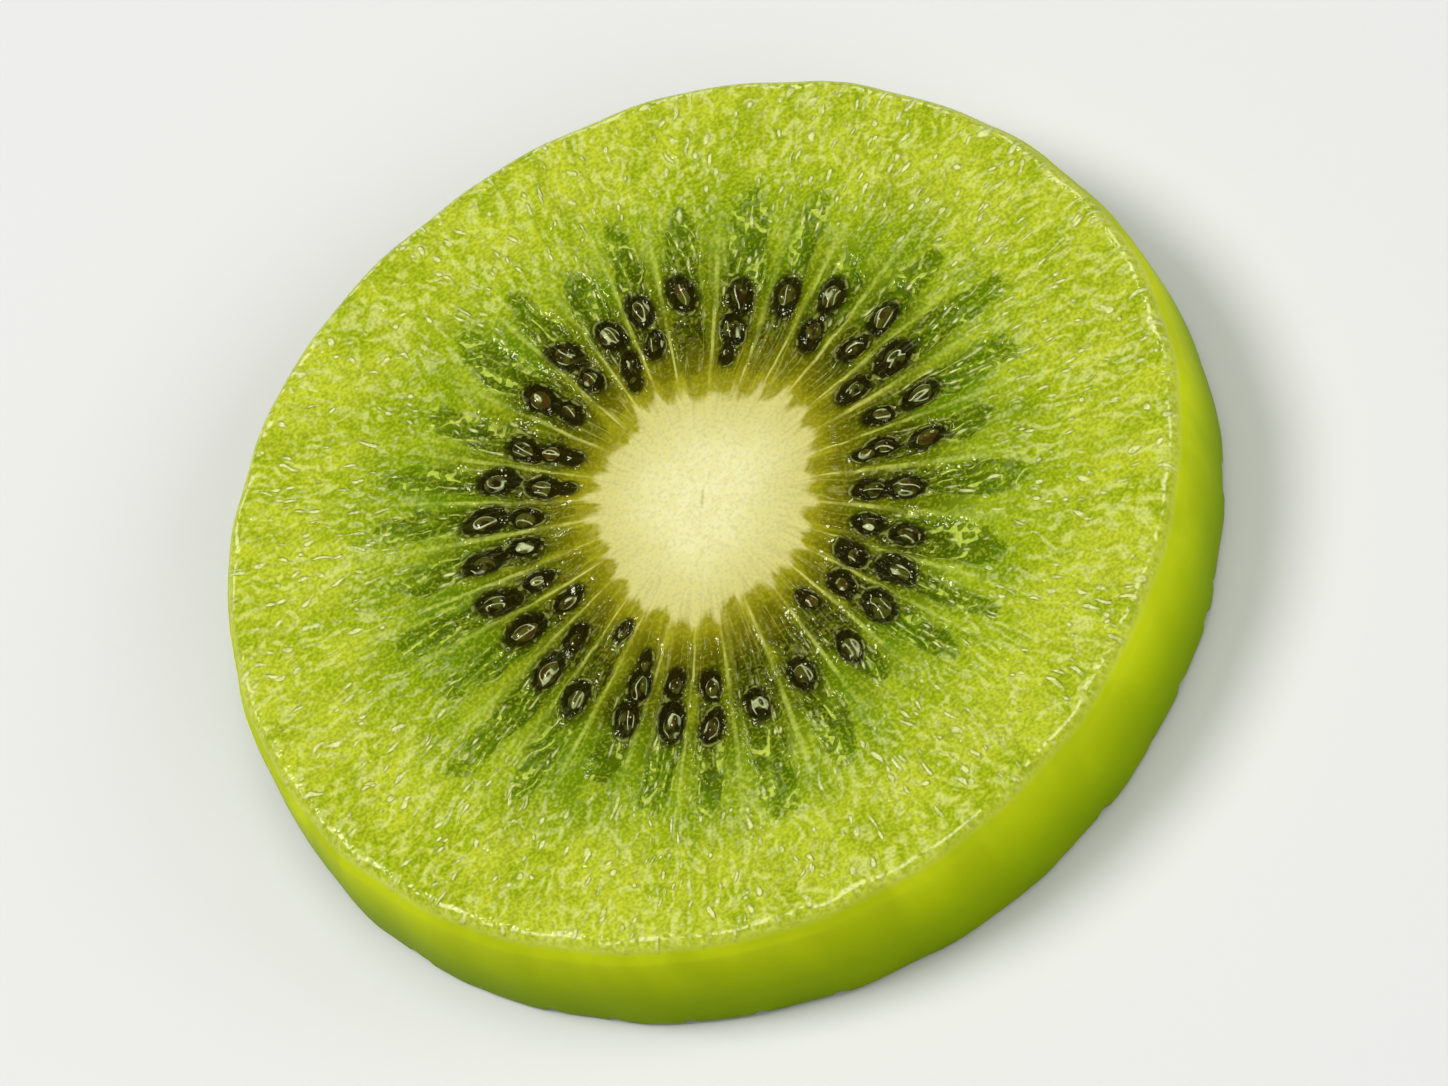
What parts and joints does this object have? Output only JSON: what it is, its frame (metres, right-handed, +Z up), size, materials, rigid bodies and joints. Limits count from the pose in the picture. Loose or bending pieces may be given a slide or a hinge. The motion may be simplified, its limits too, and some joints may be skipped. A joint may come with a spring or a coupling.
{
  "type": "peeled kiwi slice",
  "caption": "Round slice of peeled green kiwi with a pale domed core, seeds in shallow ribbed pockets on both cut faces, and a smooth rounded side.",
  "frame": {"origin": "middle of the bounding box in plan, on the surface the slice lies on", "axes": "+Z up through the slice's thickness, +X and +Y along the cut face"},
  "size_m": [0.0514, 0.0508, 0.0074],
  "materials": {
    "flesh": "moist cut fruit flesh, soft gloss"
  },
  "bodies": {
    "root": {"kiwi_slice": "flesh"}
  },
  "joints": []
}
